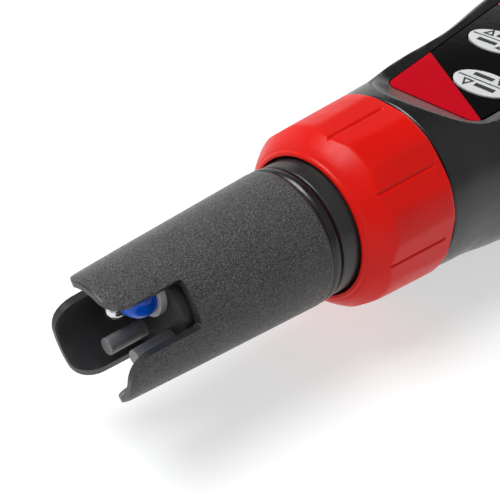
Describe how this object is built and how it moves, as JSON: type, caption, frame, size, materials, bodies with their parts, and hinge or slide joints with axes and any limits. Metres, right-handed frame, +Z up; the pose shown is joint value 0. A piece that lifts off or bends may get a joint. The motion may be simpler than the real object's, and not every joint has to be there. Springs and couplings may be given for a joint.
{
  "type": "ph test pen",
  "caption": "Waterproof handheld water tester with a slotted sensor guard, plug-in probe, red collar nut, sloping key panel with display, and a pull-off battery cap.",
  "frame": {"origin": "middle of the bounding box's underside, on the surface that the pen lies on", "axes": "+X along the pen from the sensor tip to the battery cap, +Z up out of the key panel, the pen lying on its flat back"},
  "size_m": [0.181, 0.04, 0.0396],
  "materials": {
    "case_black": "satin black moulded plastic",
    "guard_grey": "fine-grained dark grey plastic",
    "collar_red": "satin red plastic",
    "black_rubber": "smooth black rubber",
    "label_film": "glossy black printed film",
    "key_grey": "light grey moulded plastic",
    "clear_window": "clear window",
    "display_grey": "grey-green display glass",
    "white_plastic": "white moulded plastic",
    "board_green": "green circuit board",
    "chip_black": "black moulded plastic",
    "steel": "bright stainless steel",
    "contact_gold": "gold-plated contact",
    "silver_wire": "silver wire",
    "blue_glass": "blue sensing glass",
    "junction_grey": "pale grey porous ring",
    "graphite": "grey graphite",
    "cell_skin": "plain wrapped cell"
  },
  "bodies": {
    "case": {"housing": "case_black", "panel_overlay": "label_film", "lcd_window": "clear_window", "lcd_module": "display_grey", "lcd_backlight": "white_plastic", "key_membrane": "black_rubber", "main_board": "board_green", "mcu_chip": "chip_black", "tact_switch_mode": "steel", "tact_switch_temp": "steel", "tact_switch_power": "steel", "chassis": "white_plastic", "battery_1": "cell_skin", "battery_2": "cell_skin", "battery_3": "cell_skin", "battery_4": "cell_skin", "contact_board": "board_green", "contact_spring_1": "steel", "contact_spring_2": "steel", "contact_pad_1": "contact_gold", "contact_pad_2": "contact_gold", "probe_socket": "chip_black", "bulkhead_ring": "black_rubber"},
    "probe": {"probe_shell": "guard_grey", "guard_ring": "black_rubber", "flange_seal": "black_rubber", "sensor_base": "guard_grey", "glass_electrode": "blue_glass", "junction_ring": "junction_grey", "inner_electrode": "silver_wire", "reference_wire": "silver_wire", "graphite_rod_1": "graphite", "graphite_rod_2": "graphite", "temp_tube": "steel", "thermistor": "chip_black", "probe_plug": "chip_black"},
    "nut": {"collar_nut": "collar_red"},
    "key_mode_body": {"key_mode": "key_grey"},
    "key_temp_body": {"key_temp": "key_grey"},
    "key_power_body": {"key_power": "key_grey"},
    "cap": {"battery_cap": "case_black", "cap_seal": "black_rubber", "contact_bridge_1": "steel", "contact_bridge_2": "steel"}
  },
  "joints": [
    {"name": "probe_pull", "type": "slide", "parent": "case", "child": "probe", "axis": [-1, 0, 0], "range_m": [0, 0.03]},
    {"name": "nut_turn", "type": "hinge", "parent": "probe", "child": "nut", "pos_m": [-0.045, 0, 0.0196], "axis": [-1, 0, 0], "range_deg": [0, 720]},
    {"name": "key_mode_press", "type": "slide", "parent": "case", "child": "key_mode_body", "axis": [0.1182, 0, -0.993], "range_m": [0, 0.0006], "stiffness_N_per_m": 600},
    {"name": "key_temp_press", "type": "slide", "parent": "case", "child": "key_temp_body", "axis": [0.1182, 0, -0.993], "range_m": [0, 0.0006], "stiffness_N_per_m": 600},
    {"name": "key_power_press", "type": "slide", "parent": "case", "child": "key_power_body", "axis": [0.1182, 0, -0.993], "range_m": [0, 0.0006], "stiffness_N_per_m": 600},
    {"name": "cap_pull", "type": "slide", "parent": "case", "child": "cap", "axis": [1, 0, 0], "range_m": [0, 0.03]}
  ]
}
